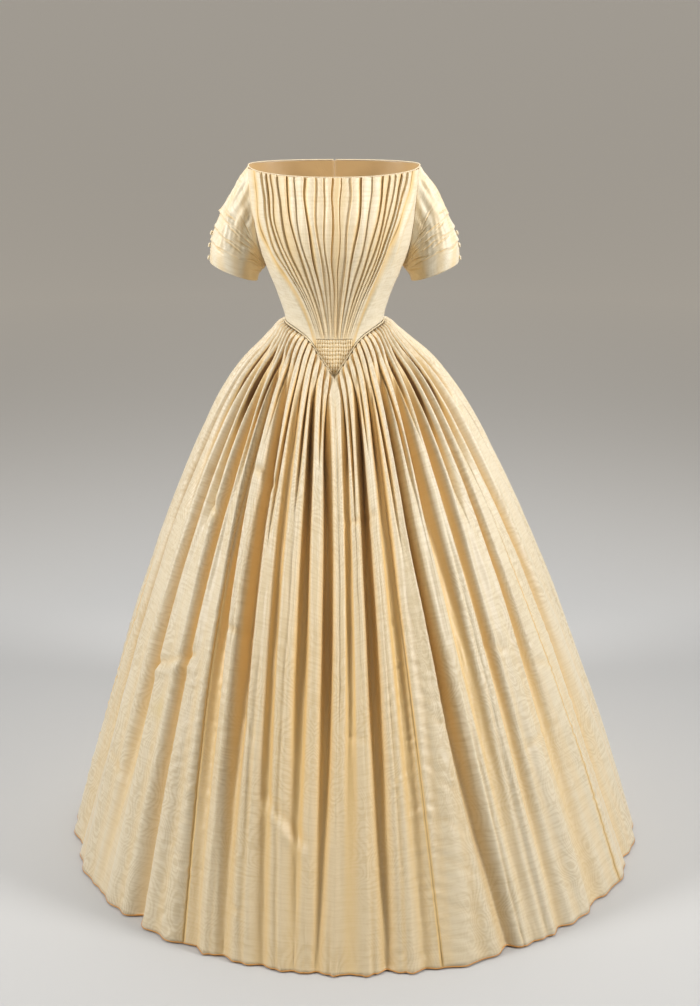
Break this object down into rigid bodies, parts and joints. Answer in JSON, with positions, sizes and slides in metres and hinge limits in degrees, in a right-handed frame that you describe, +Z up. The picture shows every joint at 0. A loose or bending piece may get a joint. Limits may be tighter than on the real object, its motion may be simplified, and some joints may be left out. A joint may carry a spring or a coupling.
{
  "type": "wedding dress",
  "caption": "Full-length silk wedding dress as worn: open fan-pleated bodice with a pointed waist, short tucked sleeves and a wide pleated bell skirt with an empty inside.",
  "frame": {"origin": "centre of the waist, where the wearer holds the dress up", "axes": "+Z up, -Y towards the front, +X to the right of a viewer who faces the front"},
  "size_m": [1.1508, 1.2076, 1.3564],
  "materials": {
    "watered_silk": "ribbed silk with a watered pattern, soft sheen",
    "gauged_silk": "the same silk, gathered and stitched down in rows",
    "piping_silk": "silk-covered cord",
    "button_silk": "silk-covered button"
  },
  "bodies": {
    "root": {"bodice_front": "watered_silk", "bodice_back_right": "watered_silk", "bodice_back_left": "watered_silk", "gauged_panel": "gauged_silk", "sleeve_right": "watered_silk", "sleeve_left": "watered_silk", "sleeve_button_right_1": "button_silk", "sleeve_button_right_2": "button_silk", "sleeve_button_right_3": "button_silk", "sleeve_button_left_1": "button_silk", "sleeve_button_left_2": "button_silk", "sleeve_button_left_3": "button_silk", "skirt_front": "watered_silk", "skirt_front_side_right": "watered_silk", "skirt_side_right": "watered_silk", "skirt_back_right": "watered_silk", "skirt_back_left": "watered_silk", "skirt_side_left": "watered_silk", "skirt_front_side_left": "watered_silk", "waist_piping": "piping_silk", "neckline_piping": "piping_silk"}
  },
  "joints": []
}
